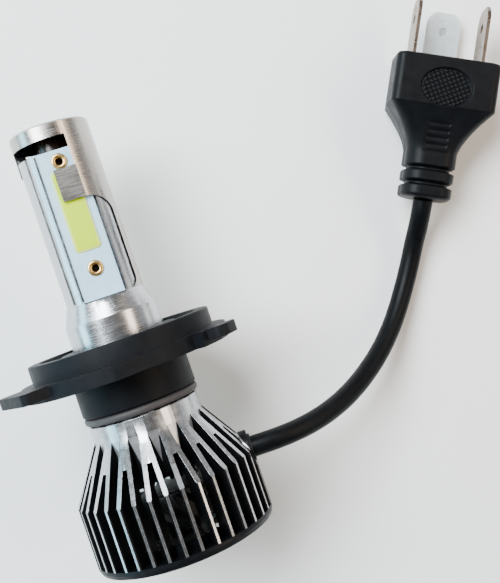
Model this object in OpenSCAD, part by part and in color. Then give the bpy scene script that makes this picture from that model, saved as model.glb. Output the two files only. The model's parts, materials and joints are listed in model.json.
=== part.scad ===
// Headlight bulb: a three-lug LED lamp with a pull-off mounting collar, a finned heatsink
// with a fan in it, and a short side cable that ends in a moulded three-blade plug.
//
// The lamp is drawn upright about Z with its front board facing -Y, then laid down by lay():
// its axis runs along +Y to the tip, the front board faces up and the cable leaves towards +X.
// Lamp heights are measured from the lug seating plane, and bearings clockwise from the front.

/* [Collar] */
// Radius of the spigot rim that centres the lamp in its reflector
spigot_r = 19; // [18.8:0.05:19.1]
// Height of the spigot rim above the lug seating plane
spigot_h = 3.8; // [3.4:0.1:4.2]
// Radius of the seating plate behind the rim
plate_r = 21.5; // [21.2:0.1:21.8]
// Radius of the lug tips
lug_r = 25.8; // [25.4:0.1:26]
// Radius of the rear sleeve
sleeve_r = 11.9; // [11.6:0.1:12.1]

/* [Post] */
// Height of the lamp tip above the seating plane
tip_z = 48; // [47.8:0.1:48.6]
// Outer radius of the shade sleeve
shade_r = 8.15; // [8.05:0.05:8.3]
// Radius of the machined barrel that the collar slides on
barrel_r = 9.52; // [9.4:0.02:9.6]
// Width of each LED board
board_w = 8.2; // [7.8:0.1:8.3]
// Width of the light-emitting strip
emitter_w = 5.3; // [4.8:0.1:5.6]

/* [Heatsink] */
// Radius of the fins and of the rear ring
sink_r = 18.5; // [18.2:0.1:18.8]
// Radius of the plain neck
neck_r = 11.35; // [11.2:0.05:11.5]
// Thickness of one fin
fin_t = 0.95; // [0.9:0.05:1.05]
// Number of fins, which join in pairs at the top
fin_count = 36; // [32:4:36]

/* [Fan] */
// Number of fan blades
blade_count = 9; // [7:2:11]
// Radius of the blade tips
fan_r = 13.2; // [12.8:0.1:13.5]

/* [Cable and plug] */
// Diameter of the cable
cable_d = 4.4; // [4.2:0.1:4.5]
// Width of the plug at its end face
plug_w = 22.5; // [22:0.1:23]
// Thickness of the plug
plug_t = 17; // [16.6:0.1:17]
// Width of one plug blade
blade_w = 7.9; // [7.7:0.1:8]
// Thickness of one plug blade
blade_t = 0.8; // [0.7:0.1:1]
// Length of a blade outside the plug
blade_out = 13; // [12.5:0.1:13.5]

/* [Hidden] */
$fn = 64;

fit = 0.05;          // radial gap of every close fit

// collar
bore_r = barrel_r + fit;
plate_t = 3;
lug_t = 2.2;
sleeve_z = -9.75;
rim_low = -2.1;                          // rear face of the spigot rim where the plate is cut away
// Bearing, width, tip radius and corner radius of each lug
lugs = [[-54, 13, lug_r, 1.5], [66, 7, lug_r - 0.8, 2.2], [186, 8, lug_r, 1.5]];
notch = [15, 52];                        // bearings of the gap in the plate
notch_r = 19.2;

// post
cone_low = 8.4;
cone_top = 12.2;
barrel_low = -14;
core_top = 42.7;
face_turn = 9.5;                         // turn of the boards and the shade towards +X
stud_r = 4.6;
stud_low = -21.8;
tip_stud_r = 3.6;
wire_bore_r = 2.6;
wire_door_z = 14.6;
slot_floor = 5.5;                        // distance of the board slots' floors from the axis
slot_low = 11.9;
groove_z = -5.5;
grip_core_r = 8.7;
grip_h = 1.8;

// shade sleeve
shade_t = 0.28;
core_r = shade_r - shade_t - 0.02;
cap_t = 0.8;
cap_low = 45;
wall_x = 2.6;                            // front edge of the shade's wall
rib_x = 7.1;                             // front edge of the narrow rib below it
window_low = 12;
tongue = [-1.7, 32.1, 38.6];             // left edge, lower end and upper end
stay = [-6, 0.5, 40];                    // right edge, front edge and lower end of the rear left stay

// boards
board_t = 1;
board_face = slot_floor + board_t;
board_ends = [12.2, 42.6];
emitter_t = 0.45;
emitter_ends = [21.7, 38.4];
eyelet_zs = [18.1, 40.2];
eyelet_r = 1.2;

// heatsink
neck_z = -11.4;
neck_low = -14.9;
shoulder_z = -26;
fins_low = -37.9;
web_low = -19;
core_low = -22;
core_end = -23.4;                        // lower end of the thin wall round the driver board
fork_z = -20;
fin_pitch = 360 / fin_count;
slot_w = 2.17;                           // width of the deep slots between pairs of fins
tip_round = 0.25;                        // how far the fins' outer edges are broken
fan_bay_r = 14.6;
nut_bay_r = 8.2;
cable_z = -26.2;
grommet_r = cable_d / 2 + 0.6;

// driver
driver_z = -22.6;
driver_t = 1;
driver_r = 10.2;
core_in = driver_r + 0.2;                // radius inside the thin wall

// fan, from the rear cover inwards
cover_z = -39.8;
hub_disc_r = 6.2;
base_z = -38.4;
base_t = 1;
tube_top = -30.6;
bearing_r = 1.6;
shaft_r = 1;
rotor_top = -28.4;
rotor_r = 6.6;
rotor_low = -36.2;
stator_r = 4.7;

// plug, in its own frame: y runs from the cable to the end face, z up
plug_at = [71.3, 10, -17.3];
plug_turn = 27.2;
plug_end = 30.3;
plug_wide = 19.7;
plug_neck = 10.2;
relief_r = 5.5;
reliefs = [[0, 2.6], [3.8, 5.9]];        // ends of the two strain relief rings
insert_low = 20;
side_x = 7.5;
side_z = 1.45;
middle_z = -5.7;
wire_r = 0.6;

// The cable's route from inside the fins to the plug, laid down onto the bench
cable_route = [
    [14.8, -26.2, 0], [19, -26.2, 0], [23.6, -26.3, -0.5], [28.3, -26.3, -2], [33, -26, -4.4],
    [37.6, -25.2, -7.3], [42.1, -23.8, -10.4], [46.4, -21.8, -13.5], [50.6, -19.2, -16.4],
    [54.5, -16, -18.9], [58.1, -12.2, -20.8], [61.4, -7.9, -21.9], [64.5, -3.2, -22.1],
    [67, 1.3, -21.2], [69, 5.1, -19.3], [70.4, 8.1, -17.8], plug_at
];

module lay() rotate([-90, 0, 0]) children();
module lay_post() lay() rotate([0, 0, face_turn]) children();
module at_bearing(b) rotate([0, 0, b - 90]) children();
module both_sides() { children(); mirror([0, 1, 0]) children(); }
module ring(outer, inner, low, high) {
    translate([0, 0, low]) difference() {
        cylinder(r = outer, h = high - low);
        translate([0, 0, -1]) cylinder(r = inner, h = high - low + 2);
    }
}
// A straight round rod from a to b
module rod(a, b, r) {
    d = b - a;
    translate(a) rotate([0, acos(d[2] / norm(d)), atan2(d[1], d[0])]) cylinder(r = r, h = norm(d));
}
// A round wire through the given points, with ball corners
module wire(points, r) {
    for (i = [1 : len(points) - 1]) rod(points[i - 1], points[i], r);
    for (i = [1 : len(points) - 2]) translate(points[i]) sphere(r = 1.06 * r);
}

// ---- post, shade and boards ----

module lamp_post() color("lightsteelblue") lay_post() difference() {
    rotate_extrude() polygon([
        [0, stud_low], [stud_r, stud_low], [stud_r, barrel_low], [barrel_r, barrel_low],
        [barrel_r, cone_low], [shade_r - 0.05, cone_top], [core_r, cone_top],
        [core_r, core_top], [tip_stud_r, core_top], [tip_stud_r, tip_z - cap_t], [0, tip_z - cap_t]
    ]);
    both_sides() board_slot();
    ring(barrel_r + 1, grip_core_r, groove_z - grip_h / 2 - 0.1, groove_z + grip_h / 2 + 0.1);
    translate([0, 0, stud_low - 1]) cylinder(r = wire_bore_r, h = wire_door_z - stud_low + 1);
    translate([0, 0, wire_door_z - 1.2]) rotate([90, 0, 0]) cylinder(r = 1.2, h = 2 * core_r, center = true);
}

// The flat slot for one board, its side grooves, the line beside it and the eyelet holes
module board_slot() {
    slot_w = board_w + 0.3;
    height = core_top - slot_low + 1;
    translate([-slot_w / 2, -shade_r - 1, slot_low]) cube([slot_w, shade_r + 1 - slot_floor, height]);
    for (side = [-1, 1]) translate([side * slot_w / 2 - 0.3, -shade_r - 1, slot_low + 0.6])
        cube([0.6, shade_r + 2 - slot_floor, height]);
    translate([-6.3, -shade_r - 1, slot_low + 0.6]) cube([0.4, shade_r + 1 - 4.2, height]);
    for (z = eyelet_zs) translate([0, -slot_floor + 1.5, z]) rotate([90, 0, 0]) cylinder(r = eyelet_r + fit, h = 4);
}

module shade_sleeve() color("silver") lay_post() {
    difference() {
        rotate_extrude() polygon([
            [0, tip_z], [shade_r - 0.3, tip_z], [shade_r, tip_z - 0.3], [shade_r, cone_top],
            [shade_r - shade_t, cone_top], [shade_r - shade_t, tip_z - cap_t], [0, tip_z - cap_t]
        ]);
        difference() {
            translate([0, 20, 0]) rotate([90, 0, 0]) linear_extrude(40) shade_window();
            translate([stay[0] - 20, stay[1], stay[2]]) cube([20, 20, 20]);
        }
    }
    both_sides() translate([tongue[0], -sqrt(pow(shade_r, 2) - pow(wall_x, 2)), tongue[1]])
        cube([wall_x + 0.25 - tongue[0], shade_t, tongue[2] - tongue[1]]);
}

// The opening seen from the front: square at the top, swept round below the wall and at the foot
module shade_window() {
    sweep_z = 28.4;
    foot = [2.5, 2.2];
    polygon(concat(
        [[-20, window_low]],
        [for (a = [0 : 15 : 90]) [rib_x - foot[0] + foot[0] * sin(a), window_low + foot[1] * (1 - cos(a))]],
        [for (a = [90 : -10 : 0])
            [wall_x + (rib_x - wall_x) * sin(a), sweep_z + (tongue[1] - sweep_z) * cos(a)]],
        [[wall_x, cap_low], [-20, cap_low]]
    ));
}

module led_board() difference() {
    translate([-board_w / 2, -board_face, board_ends[0]])
        cube([board_w, board_t, board_ends[1] - board_ends[0]]);
    for (z = eyelet_zs) translate([0, 0, z]) rotate([90, 0, 0]) cylinder(r = eyelet_r, h = 10);
}
module led_board_front() color("aliceblue") lay_post() led_board();
module led_board_rear() color("aliceblue") lay_post() mirror([0, 1, 0]) led_board();

module emitter() translate([0, -board_face, 0]) rotate([90, 0, 0]) linear_extrude(emitter_t)
    translate([-emitter_w / 2, emitter_ends[0]]) square([emitter_w, emitter_ends[1] - emitter_ends[0]]);
module emitter_front() color("yellow") lay_post() emitter();
module emitter_rear() color("yellow") lay_post() mirror([0, 1, 0]) emitter();

module board_eyelets() color("goldenrod") lay_post() both_sides()
    for (z = eyelet_zs) translate([0, -slot_floor + 0.5, z]) rotate([90, 0, 0]) rotate_extrude()
        polygon([
            [0.75, 0], [eyelet_r - 0.02, 0], [eyelet_r - 0.02, 1.5], [1.6, 1.5], [1.6, 1.7],
            [1.35, 1.9], [0.9, 1.9], [0.75, 1.7]
        ]);

module led_wires() color("firebrick") lay_post() {
    for (side = [-1, 1]) for (x = [-0.7, 0.7])
        wire([[x, side * 0.9, driver_z], [x, side * 0.9, wire_door_z - 1.2],
            [x * 0.7, side * slot_floor, wire_door_z - 1.2]], 0.45);
}

// ---- collar and rings ----

module grip_ring() color("dimgray") lay() translate([0, 0, groove_z]) rotate_extrude() {
    translate([(grip_core_r + bore_r - 0.02) / 2, 0]) circle(r = (bore_r - 0.02 - grip_core_r) / 2);
}

module seal_ring() color("darkgray") lay() rotate_extrude() polygon([
    [bore_r, neck_z + 0.1], [11.6, neck_z + 0.1], [11.9, neck_z + 0.4], [11.9, sleeve_z - 0.35],
    [11.6, sleeve_z - 0.05], [bore_r, sleeve_z - 0.05]
]);

module collar() color("darkslategray") lay() difference() {
    union() {
        rotate_extrude() polygon([
            [bore_r, sleeve_z], [sleeve_r - 0.3, sleeve_z], [sleeve_r, sleeve_z + 0.3],
            [sleeve_r, rim_low], [spigot_r, rim_low], [spigot_r, spigot_h - 0.2],
            [spigot_r - 0.2, spigot_h], [16.6, spigot_h],
            [16, 1.9], [12.6, 1.9], [12, spigot_h - 0.3], [bore_r, spigot_h - 0.3]
        ]);
        difference() {
            union() {
                translate([0, 0, -plate_t]) cylinder(r = plate_r, h = plate_t);
                for (l = lugs) at_bearing(l[0]) lug(l[1], l[2], l[3]);
            }
            at_bearing(0) translate([0, 0, -plate_t - 1]) linear_extrude(plate_t + 1)
                polygon([for (p = concat(
                        [for (t = [0 : 6]) [notch_r, notch[0] + (notch[1] - notch[0]) * t / 6]],
                        [[30, notch[1]], [30, notch[0] - 16], [notch_r + 3.3, notch[0] - 16]]
                    )) [p[0] * cos(p[1]), p[0] * sin(p[1])]]);
            translate([0, 0, -plate_t - 1]) cylinder(r = sleeve_r - 0.5, h = plate_t + 2);
        }
    }
}
// One lug, pointing along +x, with rounded corners
module lug(w, tip, r) translate([0, 0, -lug_t]) linear_extrude(lug_t) {
    translate([plate_r - 3, -w / 2]) square([tip - r - plate_r + 3, w]);
    translate([tip - r - 0.1, -w / 2 + r]) square([r + 0.1, w - 2 * r]);
    for (side = [-1, 1]) translate([tip - r, side * (w / 2 - r)]) circle(r = r);
}

// ---- heatsink ----

module heatsink() color("gainsboro") lay() difference() {
    union() {
        fins();
        cable_boss();
    }
    translate([12, 0, cable_z]) rotate([0, 90, 0]) cylinder(r = grommet_r + fit, h = 10);
    at_bearing(15) nick();
    for (side = [-1, 1]) translate([0, side * 9.5, core_low - 1]) cylinder(r = 0.8, h = 3.5);
}
// The shallow worn place on the shoulder of one fin
module nick() rotate([90, 0, 0]) translate([0, 0, -0.9]) linear_extrude(1.8)
    polygon([[14.9, -21.3], [20, -21.3], [20, shoulder_z], [sink_r - 0.6, shoulder_z]]);
// A short tube between the fins that the cable's grommet sits in
module cable_boss() translate([15, 0, cable_z]) rotate([0, 90, 0]) cylinder(r = grommet_r + 0.9, h = 3.1);
module fins() difference() {
    rotate_extrude() polygon([
        [stud_r + fit, web_low], [stud_r + fit, barrel_low], [bore_r, barrel_low], [bore_r, neck_z],
        [neck_r - 0.3, neck_z], [neck_r, neck_z - 0.3], [neck_r, neck_low], [sink_r, shoulder_z],
        [sink_r, fins_low], [fan_bay_r, fins_low], [fan_bay_r, -24.6], [neck_r + 0.6, core_end],
        [core_in, core_end], [core_in, core_low], [nut_bay_r, core_low], [nut_bay_r, web_low]
    ]);
    difference() {
        for (k = [0 : 2 : fin_count - 1]) {
            at_bearing(k * fin_pitch) gap(fork_z) fork_gap();
            at_bearing((k + 1) * fin_pitch) gap(neck_low) deep_slot();
        }
        translate([0, 0, core_end]) cylinder(r = neck_r, h = 20);
    }
}
// The air between two fins, from below the fins up to the given height
module gap(top) translate([0, 0, fins_low - 1]) linear_extrude(top - fins_low + 1) children();
// A slot with parallel sides, flared where the fins' outer edges are broken
module deep_slot() polygon([for (p = [
        [0, -1, 0], [sink_r - tip_round, -1, 0], [sink_r + 0.3, -1, 1], [sink_r + 0.3, 1, 1],
        [sink_r - tip_round, 1, 0], [0, 1, 0]
    ]) [p[0], p[1] * (slot_w / 2 + p[2] * 2 * tip_round)]]);
// The wedge inside one pair of fins, which leaves each fin with parallel sides
module fork_gap() {
    half = fin_pitch;
    apex = (slot_w / 2 + fin_t) / sin(half);
    near = sink_r - tip_round;
    far = sink_r + 0.3;
    polygon([
        [apex, 0], [near, -(near - apex) * tan(half)], [far, -(near - apex) * tan(half) - 2 * tip_round],
        [far, (near - apex) * tan(half) + 2 * tip_round], [near, (near - apex) * tan(half)]
    ]);
}

module post_nut() color("peru") lay() translate([0, 0, web_low - 2.6]) difference() {
    cylinder(r = 7.5, h = 2.6, $fn = 6);
    translate([0, 0, -1]) cylinder(r = stud_r + 0.02, h = 5);
}

// ---- driver ----

module driver_board() color("seagreen") lay() difference() {
    ring(driver_r, 2.4, driver_z - driver_t, driver_z);
    for (side = [-1, 1]) translate([0, side * 9.5, driver_z - 2]) cylinder(r = 0.8, h = 3);
}
module driver_coil() color("chocolate") lay() translate([-5.6, 0, driver_z - driver_t - 3]) rotate_extrude()
    polygon([[0, 0], [2.6, 0], [2.6, 0.5], [2.2, 0.5], [2.2, 2.5], [2.6, 2.5], [2.6, 3], [0, 3]]);
module driver_capacitors() color("slategray") lay()
    for (p = [[-1.8, 5.2], [3.4, 5.6]]) translate([p[0], p[1], driver_z - driver_t - 3]) cylinder(r = 1.7, h = 3);
module driver_chips() color("black") lay() {
    translate([-1, -7.6, driver_z - driver_t - 1.4]) cube([5, 3.8, 1.4]);
    translate([-5.4, -6.8, driver_z - driver_t - 0.9]) cube([2.6, 1.8, 0.9]);
    translate([4.6, -4.4, driver_z - driver_t - 0.8]) cube([2.2, 1.2, 0.8]);
}
module driver_screws() color("silver") lay() for (side = [-1, 1])
    translate([0, side * 9.5, driver_z - driver_t - 1]) rotate_extrude()
        polygon([[0, 0], [1.3, 0], [1.3, 1], [0.75, 1], [0.75, 3.6], [0, 3.6]]);

// Three conductors from the cable's end to the driver board
module supply_wires() color("red") lay() for (k = [-1 : 1])
    tube([[14.7, k * 1.3, cable_z], [12.6, k * 1.4, cable_z], [11, k * 1.6, cable_z + 0.5],
        [9.7, k * 1.8, cable_z + 1.4], [8.8, k * 2, driver_z - driver_t - 0.2]], 0.5, 8);

module cable_grommet() color("black") lay() translate([14.7, 0, cable_z]) rotate([0, 90, 0])
    ring(grommet_r, cable_d / 2 + fit, 0, 3.9);

// ---- fan ----

module rear_cover() color("black") lay() {
    rotate_extrude() polygon([
        [fan_bay_r - 0.7, fins_low + 1.4], [fan_bay_r - 0.7, cover_z + 0.4], [fan_bay_r - 0.3, cover_z],
        [sink_r - 1.2, cover_z], [sink_r - 0.35, cover_z + 0.35], [sink_r, cover_z + 1.2],
        [sink_r, fins_low], [fan_bay_r - 0.05, fins_low], [fan_bay_r - 0.05, fins_low + 1.4]
    ]);
    difference() {
        translate([0, 0, cover_z + 0.2]) cylinder(r = hub_disc_r, h = base_z - cover_z - 0.2);
        for (k = [0 : 2]) rotate([0, 0, k * 120]) translate([4.4, 0, cover_z]) {
            cylinder(r = 0.85, h = 3);
            translate([0, 0, -1]) cylinder(r = 1.5, h = 1.75);
        }
    }
    ring(10.6, 9.6, cover_z + 0.4, base_z - 0.1);
    for (k = [0 : 5]) rotate([0, 0, k * 60 + 30]) translate([hub_disc_r - 0.3, -0.7, cover_z + 0.4])
        cube([fan_bay_r - hub_disc_r - 0.1, 1.4, base_z - cover_z - 0.5]);
}
module fan_base() color("dimgray") lay() difference() {
    union() {
        translate([0, 0, base_z]) cylinder(r = 6, h = base_t);
        translate([0, 0, base_z]) cylinder(r = 2.2, h = tube_top - base_z);
    }
    translate([0, 0, base_z + base_t]) cylinder(r = bearing_r, h = 10);
    for (k = [0 : 2]) rotate([0, 0, k * 120]) translate([4.4, 0, base_z - 1]) cylinder(r = 0.75, h = 3);
}
module fan_bearing() color("peru") lay() ring(bearing_r - 0.01, shaft_r + fit, base_z + base_t, tube_top);
module fan_board() color("darkgreen") lay() ring(5.7, 2.25, base_z + base_t, base_z + base_t + 0.8);
module fan_stator() color("lightgray") lay() translate([0, 0, -35.4]) linear_extrude(3.6) difference() {
    union() {
        circle(r = 3);
        for (k = [0 : 3]) rotate(k * 90) translate([0, -0.7]) square([4, 1.4]);
        intersection() {
            difference() { circle(r = stator_r); circle(r = 3.9); }
            for (k = [0 : 3]) rotate(k * 90) polygon([[0, 0], [8, -6], [8, 6]]);
        }
    }
    circle(r = 2.2);
}
module fan_coils() color("orangered") lay() for (k = [0 : 3]) rotate([0, 0, k * 90])
    translate([3.1, 0, -33.6]) difference() {
        translate([0, -1.25, -2.2]) cube([0.55, 2.5, 4.4]);
        translate([-1, -0.71, -1.81]) cube([3, 1.42, 3.62]);
    }
module fan_shaft() color("silver") lay() translate([0, 0, -37]) cylinder(r = shaft_r, h = rotor_top + 37 - 0.3);
module fan_magnet() color("darkslategray") lay() ring(rotor_r - 0.5, 5, -36, -31.2);
module fan_rotor() color("black") lay() {
    rotate_extrude() polygon([
        [shaft_r, rotor_top - 2], [1.9, rotor_top - 2], [1.9, rotor_top - 1], [rotor_r - 0.5, rotor_top - 1],
        [rotor_r - 0.5, rotor_low], [rotor_r, rotor_low], [rotor_r, rotor_top - 0.4],
        [rotor_r - 0.4, rotor_top], [0, rotor_top], [0, rotor_top - 0.3], [shaft_r, rotor_top - 0.3]
    ]);
    intersection() {
        ring(fan_r, rotor_r - 0.25, rotor_low + 0.2, rotor_top - 0.6);
        for (k = [0 : blade_count - 1]) rotate([0, 0, k * 360 / blade_count])
            translate([10, 0, (rotor_low + rotor_top) / 2]) rotate([48, 0, 0]) cube([10, 0.7, 12], center = true);
    }
}
module fan_screws() color("silver") lay() for (k = [0 : 2]) rotate([0, 0, k * 120])
    translate([4.4, 0, cover_z + 0.2]) rotate_extrude()
        polygon([[0, 0], [1.4, 0], [1.4, 0.5], [0.7, 0.5], [0.7, 2.1], [0, 2.1]]);

// ---- cable and plug ----

// A round tube along a route, as rings of points square to it
module tube(route, r, sides) {
    last = len(route) - 1;
    rings = [for (i = [0 : last])
        let (d = route[min(i + 1, last)] - route[max(i - 1, 0)], t = d / norm(d),
            s = cross(t, [0, 0, 1]) / norm(cross(t, [0, 0, 1])), u = cross(s, t))
        each [for (k = [0 : sides - 1])
            route[i] + r * (cos(k * 360 / sides) * s + sin(k * 360 / sides) * u)]];
    polyhedron(rings, tube_faces(last, sides));
}
// Faces of a closed stack of rings, with flat ends
function tube_faces(last, sides) = concat(
    [[for (k = [sides - 1 : -1 : 0]) k]],
    [for (i = [0 : last - 1]) for (k = [0 : sides - 1])
        let (a = i * sides + k, b = i * sides + (k + 1) % sides) [a, b, b + sides, a + sides]],
    [[for (k = [0 : sides - 1]) last * sides + k]]
);
module cable() color("black") tube(cable_route, cable_d / 2, 12);

module at_plug() translate(plug_at) rotate([0, 0, -plug_turn]) children();

// Half width and half thickness of the plug at a distance from the cable
function plug_taper(y) = pow((y - plug_neck) / (plug_wide - plug_neck), 1.5);
function plug_half(y) = y < plug_neck ? [relief_r, relief_r]
    : y < plug_wide ? [relief_r + (plug_w / 2 - relief_r) * plug_taper(y),
        relief_r + (plug_t / 2 - relief_r) * plug_taper(y)]
    : [plug_w / 2, plug_t / 2];
// One ring of points round the plug: a rectangle with rounded corners
function plug_ring(y, half, r) = [for (c = [0 : 3]) for (a = [0 : 30 : 90])
    let (turn = c * 90 + a, sx = c == 0 || c == 3 ? 1 : -1, sz = c < 2 ? 1 : -1)
    [sx * (half[0] - r) + r * cos(turn), y, sz * (half[1] - r) + r * sin(turn)]];

module plug_shape() {
    groove = 0.9;
    rings = [for (e = reliefs) for (p = [[e[0], 0.4], [e[0] + 0.3, 0], [e[1] - 0.2, 0],
            [e[1] + 0.1, groove], [e[1] + 0.9, groove]])
        [p[0], [relief_r - p[1], relief_r - p[1]], 3.6 - p[1] / 2]];
    body = [for (y = [7, plug_neck, 12, 14, 16, 18, plug_wide, plug_end - 0.7])
        [y, plug_half(y), y < plug_wide ? 3.6 - 1.8 * max(0, y - plug_neck) / (plug_wide - plug_neck) : 1.8]];
    face = [[plug_end, [plug_w / 2 - 0.6, plug_t / 2 - 0.6], 1.3]];
    sections = concat(rings, body, face);
    polyhedron([for (s = sections) each plug_ring(s[0], s[1], s[2])], tube_faces(len(sections) - 1, 16));
}
module plug_body() color("darkslategray") at_plug() difference() {
    plug_shape();
    translate([0, 0, plug_t / 2 - 0.5]) linear_extrude(2) translate([0, plug_end - 6.7])
        polygon([for (a = [0 : 10 : 350]) [5.7 * cos(a), 4.25 * sin(a)]]);
    translate([-9, insert_low - 0.2, -7.2]) cube([18, 20, 13.6]);
    plug_leads(wire_r + fit);
}
module plug_insert() color("dimgray") at_plug() difference() {
    translate([-8.95, insert_low + fit, -7.15]) cube([17.9, plug_end - insert_low - 0.3, 13.5]);
    blades(fit);
}
module plug_wires() color("brown") at_plug() plug_leads(wire_r);
// The three leads from the cable to the blades: straight through the neck, then spreading out
module plug_leads(r) for (p = [[-side_x, side_z], [side_x, side_z], [0, middle_z]])
    let (start = [1.3 * sign(p[0]), p[0] == 0 ? -0.9 : 0.4], end = [0.95 * p[0], p[1]])
    tube([for (t = [0, 0.2, 0.36, 0.52, 0.68, 0.84, 1])
        let (s = max(0, t - 0.2) / 0.8, spread = s * s * (3 - 2 * s))
        [start[0] + (end[0] - start[0]) * spread, 0.3 + (insert_low - 0.3) * t,
            start[1] + (end[1] - start[1]) * spread]], r, 8);

// One flat blade along y, lying in the xy plane, with cut corners, a hole and a dimple
module blade_plate(grow) {
    half = blade_w / 2 + grow;
    end = plug_end + blade_out;
    difference() {
        translate([0, 0, -blade_t / 2 - grow]) linear_extrude(blade_t + 2 * grow) difference() {
            polygon([
                [-half, insert_low + 0.3], [half, insert_low + 0.3], [half, end - 2.6], [half - 0.6, end - 1.2],
                [half - 1.8, end], [1.8 - half, end], [0.6 - half, end - 1.2], [-half, end - 2.6]
            ]);
            translate([0, end - 4.4]) circle(r = 1);
        }
        translate([0, end - 2.1, blade_t / 2 - 0.2 + grow]) cylinder(r = 0.55, h = 2);
    }
}
module left_place() translate([-side_x, 0, side_z]) rotate([0, -90, 0]) children();
module right_place() translate([side_x, 0, side_z]) rotate([0, 90, 0]) children();
module middle_place() translate([0, 0, middle_z]) children();
module blades(grow) {
    left_place() blade_plate(grow);
    right_place() blade_plate(grow);
    middle_place() blade_plate(grow);
}
module blade_left() color("lightgray") at_plug() left_place() blade_plate(0);
module blade_right() color("lightgray") at_plug() right_place() blade_plate(0);
module blade_middle() color("lightgray") at_plug() middle_place() blade_plate(0);

lamp_post();
shade_sleeve();
led_board_front();
led_board_rear();
emitter_front();
emitter_rear();
board_eyelets();
led_wires();
grip_ring();
seal_ring();
collar();
heatsink();
post_nut();
driver_board();
driver_coil();
driver_capacitors();
driver_chips();
driver_screws();
supply_wires();
cable_grommet();
fan_base();
fan_bearing();
fan_board();
fan_stator();
fan_coils();
fan_shaft();
fan_magnet();
fan_rotor();
fan_screws();
rear_cover();
cable();
plug_body();
plug_insert();
plug_wires();
blade_left();
blade_right();
blade_middle();
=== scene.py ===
"""Headlight bulb: the visual model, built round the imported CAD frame."""

import json
import math

import bmesh
import bpy
import numpy as np
from bpy.props import FloatProperty, FloatVectorProperty, IntProperty, PointerProperty
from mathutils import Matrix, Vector


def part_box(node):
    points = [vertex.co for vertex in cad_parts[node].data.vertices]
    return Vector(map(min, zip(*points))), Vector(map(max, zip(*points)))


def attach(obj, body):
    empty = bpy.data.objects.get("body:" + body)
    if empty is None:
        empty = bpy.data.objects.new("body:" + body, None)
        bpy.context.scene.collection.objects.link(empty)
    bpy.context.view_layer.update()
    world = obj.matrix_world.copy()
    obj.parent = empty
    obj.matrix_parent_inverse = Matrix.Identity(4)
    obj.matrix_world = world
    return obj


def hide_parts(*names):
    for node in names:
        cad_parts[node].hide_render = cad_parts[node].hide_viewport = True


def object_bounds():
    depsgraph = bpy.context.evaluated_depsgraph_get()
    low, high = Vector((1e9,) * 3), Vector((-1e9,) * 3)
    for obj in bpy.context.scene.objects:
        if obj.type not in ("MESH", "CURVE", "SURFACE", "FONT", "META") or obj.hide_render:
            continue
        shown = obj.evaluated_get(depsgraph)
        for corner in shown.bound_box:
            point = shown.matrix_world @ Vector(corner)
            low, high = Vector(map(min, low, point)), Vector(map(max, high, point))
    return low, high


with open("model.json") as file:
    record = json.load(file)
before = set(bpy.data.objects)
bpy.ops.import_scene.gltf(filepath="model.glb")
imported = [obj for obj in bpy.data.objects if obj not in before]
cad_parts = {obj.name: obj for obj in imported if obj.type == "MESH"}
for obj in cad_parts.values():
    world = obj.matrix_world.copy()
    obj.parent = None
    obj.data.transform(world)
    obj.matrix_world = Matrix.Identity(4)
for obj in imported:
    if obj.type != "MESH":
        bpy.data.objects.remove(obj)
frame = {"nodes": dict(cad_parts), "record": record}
CAD_BOX = [list(corner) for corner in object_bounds()]

bl_info = {
    "name": "Headlight Bulb",
    "version": (1, 0, 0),
    "blender": (4, 5, 0),
    "location": "View3D > Sidebar > Bulb",
    "description": "Builds a finned headlight bulb with its boards, collar, fan, cable and plug",
    "category": "Object",
}

MM = 0.001
FULL_TURN = 2 * math.pi

# The cable's route from inside the fins to the plug, in millimetres
CABLE_ROUTE = [
    (14.8, -26.2, 0), (19, -26.2, 0), (23.6, -26.3, -0.5), (28.3, -26.3, -2), (33, -26, -4.4),
    (37.6, -25.2, -7.3), (42.1, -23.8, -10.4), (46.4, -21.8, -13.5), (50.6, -19.2, -16.4),
    (54.5, -16, -18.9), (58.1, -12.2, -20.8), (61.4, -7.9, -21.9), (64.5, -3.2, -22.1),
    (67, 1.3, -21.2), (69, 5.1, -19.3), (70.4, 8.1, -17.8), (71.3, 10, -17.3),
]
CABLE_DIAMETER = 4.4 * MM
PLUG_AT = np.array([71.3, 10, -17.3]) * MM
PLUG_TURN = math.radians(27.2)
# Turn of the boards and the shade about the lamp's axis, towards +X
FACE_TURN = math.radians(9.5)

# A height above the whole lamp: metal that has lengthwise lines only above it has rings all over
RINGS_ONLY = 1.0

# Each light's name, place, size, power and colour
LIGHTS = (
    ("Window", (-0.46, 0.04, 0.15), (0.60, 0.16), 2.0, (0.42, 0.84, 1.0)),
    ("Lamp", (0.38, 0.0, 0.32), (0.60, 0.13), 1.9, (1.0, 0.82, 0.64)),
    ("Overhead", (-0.18, 0.30, 0.52), (0.55, 0.32), 12.5, (0.90, 0.96, 1.0)),
)


def face_turned(points, way=1):
    """Points turned about the lamp's axis from the square frame to the boards' frame.

    With way -1 they are turned back."""
    sine, cosine = math.sin(way * FACE_TURN), math.cos(FACE_TURN)
    x, y, z = np.moveaxis(np.asarray(points, float), -1, 0)
    return np.stack([x * cosine + z * sine, y, z * cosine - x * sine], -1)


def face_box(name):
    """Low and high corners, in metres, of a CAD node once it is turned back square."""
    points = face_turned([v.co for v in frame["nodes"][name].data.vertices], -1)
    return points.min(0), points.max(0)


# ---- sizes and finishes that a user would change ----


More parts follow.
